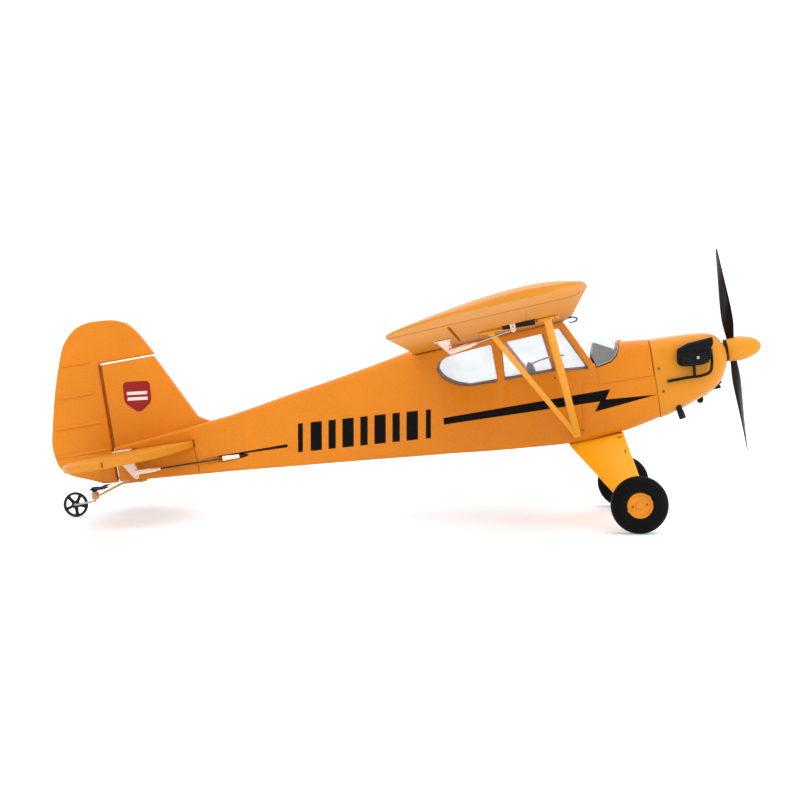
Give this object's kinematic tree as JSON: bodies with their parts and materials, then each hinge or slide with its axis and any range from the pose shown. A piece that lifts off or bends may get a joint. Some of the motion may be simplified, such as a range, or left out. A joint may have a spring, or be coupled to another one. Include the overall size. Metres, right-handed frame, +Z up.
{
  "type": "rc foam airplane",
  "caption": "High-wing tail-wheel radio-control foam airplane with strutted wing, hinged control surfaces, propeller, sprung tail wheel and lift-off nose hatch.",
  "frame": {"origin": "ground under the middle of the airplane's box, standing on its three wheels", "axes": "+X towards the nose, +Y to port, +Z up from the ground"},
  "size_m": [0.503, 0.65, 0.1898],
  "materials": {
    "yellow_foam": "matte",
    "yellow_plastic": "satin",
    "black_plastic": "satin",
    "tyre_foam_rubber": "matte",
    "clear_film": "gloss",
    "white_plastic": "satin",
    "steel_wire": "satin",
    "grey_plastic": "satin",
    "motor_metal": "satin",
    "circuit_board": "satin",
    "plywood": "matte",
    "battery_wrap": "gloss"
  },
  "bodies": {
    "airframe": {"aileron_lead": "black_plastic", "aileron_servo_left": "black_plastic", "aileron_servo_right": "black_plastic", "battery": "battery_wrap", "cowl": "yellow_plastic", "elevator_servo": "black_plastic", "engine_block_left": "black_plastic", "engine_block_right": "black_plastic", "exhaust_stub": "black_plastic", "fin": "yellow_foam", "firewall": "plywood", "flight_board": "circuit_board", "fuselage_left": "yellow_foam", "fuselage_right": "yellow_foam", "glazing_left": "clear_film", "glazing_right": "clear_film", "guide_tube_left": "white_plastic", "guide_tube_right": "white_plastic", "landing_gear": "yellow_plastic", "motor_stator": "motor_metal", "rudder_servo": "black_plastic", "seat": "grey_plastic", "stabilizer": "yellow_foam", "strut_front_left": "yellow_plastic", "strut_front_right": "yellow_plastic", "strut_rear_left": "yellow_plastic", "strut_rear_right": "yellow_plastic", "tail_bracket": "yellow_plastic", "wing_joiner": "steel_wire", "wing_left": "yellow_foam", "wing_right": "yellow_foam"},
    "propeller": {"propeller": "black_plastic", "spinner": "yellow_plastic", "motor_bell": "motor_metal"},
    "aileron_right": {"aileron_right": "yellow_foam", "aileron_horn_right": "white_plastic"},
    "aileron_left": {"aileron_left": "yellow_foam", "aileron_horn_left": "white_plastic"},
    "aileron_arm_right": {"aileron_arm_right": "white_plastic"},
    "aileron_arm_left": {"aileron_arm_left": "white_plastic"},
    "aileron_pushrod_right": {"aileron_pushrod_right": "steel_wire"},
    "aileron_pushrod_left": {"aileron_pushrod_left": "steel_wire"},
    "elevator": {"elevator": "yellow_foam", "elevator_horn": "white_plastic"},
    "elevator_pushrod": {"elevator_pushrod": "steel_wire"},
    "elevator_arm": {"elevator_arm": "white_plastic"},
    "rudder": {"rudder": "yellow_foam", "rudder_horn": "white_plastic"},
    "rudder_pushrod": {"rudder_pushrod": "steel_wire"},
    "rudder_arm": {"rudder_arm": "white_plastic"},
    "tail_wheel_strut": {"tail_wheel_strut": "steel_wire"},
    "tail_wheel": {"tail_wheel": "black_plastic"},
    "wheel_right": {"tyre_right": "tyre_foam_rubber", "hub_right": "yellow_plastic"},
    "wheel_left": {"tyre_left": "tyre_foam_rubber", "hub_left": "yellow_plastic"},
    "hatch": {"hatch": "yellow_foam", "windshield": "clear_film", "instrument_panel": "grey_plastic"}
  },
  "joints": [
    {"name": "propeller_spin", "type": "hinge", "parent": "airframe", "child": "propeller", "pos_m": [0.23245, 0, 0.11963], "axis": [0.9875, 0, 0.1578], "continuous": true},
    {"name": "aileron_right_hinge", "type": "hinge", "parent": "airframe", "child": "aileron_right", "pos_m": [0.04193, -0.1323, 0.13411], "axis": [0.0092, 0.9983, -0.0577], "range_deg": [-25, 25]},
    {"name": "aileron_arm_right_turn", "type": "hinge", "parent": "airframe", "child": "aileron_arm_right", "pos_m": [0.07697, -0.1323, 0.14332], "axis": [0, 1, 0], "range_deg": [-40, 40]},
    {"name": "aileron_pushrod_right_slide", "type": "slide", "parent": "airframe", "child": "aileron_pushrod_right", "axis": [-0.9441, 0, -0.3298], "range_m": [-0.006, 0.006]},
    {"name": "aileron_left_hinge", "type": "hinge", "parent": "airframe", "child": "aileron_left", "pos_m": [0.04193, 0.1323, 0.13411], "axis": [-0.0092, 0.9983, 0.0577], "range_deg": [-25, 25]},
    {"name": "aileron_arm_left_turn", "type": "hinge", "parent": "airframe", "child": "aileron_arm_left", "pos_m": [0.07697, 0.1323, 0.14332], "axis": [0, 1, 0], "range_deg": [-40, 40]},
    {"name": "aileron_pushrod_left_slide", "type": "slide", "parent": "airframe", "child": "aileron_pushrod_left", "axis": [-0.9441, 0, -0.3298], "range_m": [-0.006, 0.006]},
    {"name": "elevator_hinge", "type": "hinge", "parent": "airframe", "child": "elevator", "pos_m": [-0.1894, 0, 0.04717], "axis": [0, 1, 0], "range_deg": [-22, 22]},
    {"name": "rudder_hinge", "type": "hinge", "parent": "airframe", "child": "rudder", "pos_m": [-0.20698, 0, 0.04942], "axis": [-0.1578, 0, 0.9875], "range_deg": [-25, 25]},
    {"name": "elevator_pushrod_slide", "type": "slide", "parent": "airframe", "child": "elevator_pushrod", "axis": [-0.9867, -0.03, -0.1597], "range_m": [-0.0072, 0.0072]},
    {"name": "elevator_arm_turn", "type": "hinge", "parent": "airframe", "child": "elevator_arm", "pos_m": [0.0047, -0.00921, 0.05558], "axis": [0, 1, 0], "range_deg": [-45, 45]},
    {"name": "rudder_pushrod_slide", "type": "slide", "parent": "airframe", "child": "rudder_pushrod", "axis": [-0.9599, 0.0278, -0.2789], "range_m": [-0.0072, 0.0072]},
    {"name": "rudder_arm_turn", "type": "hinge", "parent": "airframe", "child": "rudder_arm", "pos_m": [0.00114, 0.00942, 0.07786], "axis": [0, 1, 0], "range_deg": [-45, 45]},
    {"name": "tail_wheel_steer", "type": "hinge", "parent": "airframe", "child": "tail_wheel_strut", "pos_m": [-0.221, 0, 0.0168], "axis": [-0.1578, 0, 0.9875], "range_deg": [-30, 30]},
    {"name": "tail_wheel_spin", "type": "hinge", "parent": "tail_wheel_strut", "child": "tail_wheel", "pos_m": [-0.23515, 0, 0.00902], "axis": [0, 1, 0], "continuous": true},
    {"name": "wheel_right_spin", "type": "hinge", "parent": "airframe", "child": "wheel_right", "pos_m": [0.16145, -0.079, 0.01904], "axis": [0, 1, 0], "continuous": true},
    {"name": "wheel_left_spin", "type": "hinge", "parent": "airframe", "child": "wheel_left", "pos_m": [0.16145, 0.079, 0.01904], "axis": [0, 1, 0], "continuous": true},
    {"name": "hatch_lift", "type": "slide", "parent": "airframe", "child": "hatch", "axis": [-0.1578, 0, 0.9875], "range_m": [0, 0.06]}
  ],
  "couplings": [
    {"joint": "aileron_arm_right_turn", "follows": "aileron_right_hinge", "ratio": 1.3204},
    {"joint": "aileron_pushrod_right_slide", "follows": "aileron_right_hinge", "m_per_rad": 0.011223},
    {"joint": "aileron_left_hinge", "follows": "aileron_right_hinge", "ratio": -1},
    {"joint": "aileron_arm_left_turn", "follows": "aileron_right_hinge", "ratio": -1.3204},
    {"joint": "aileron_pushrod_left_slide", "follows": "aileron_right_hinge", "m_per_rad": -0.011223},
    {"joint": "elevator_pushrod_slide", "follows": "elevator_hinge", "m_per_rad": 0.0137},
    {"joint": "elevator_arm_turn", "follows": "elevator_hinge", "ratio": -1.5222},
    {"joint": "rudder_pushrod_slide", "follows": "rudder_hinge", "m_per_rad": 0.0125},
    {"joint": "rudder_arm_turn", "follows": "rudder_hinge", "ratio": -1.3889},
    {"joint": "tail_wheel_steer", "follows": "rudder_hinge", "ratio": 1}
  ]
}
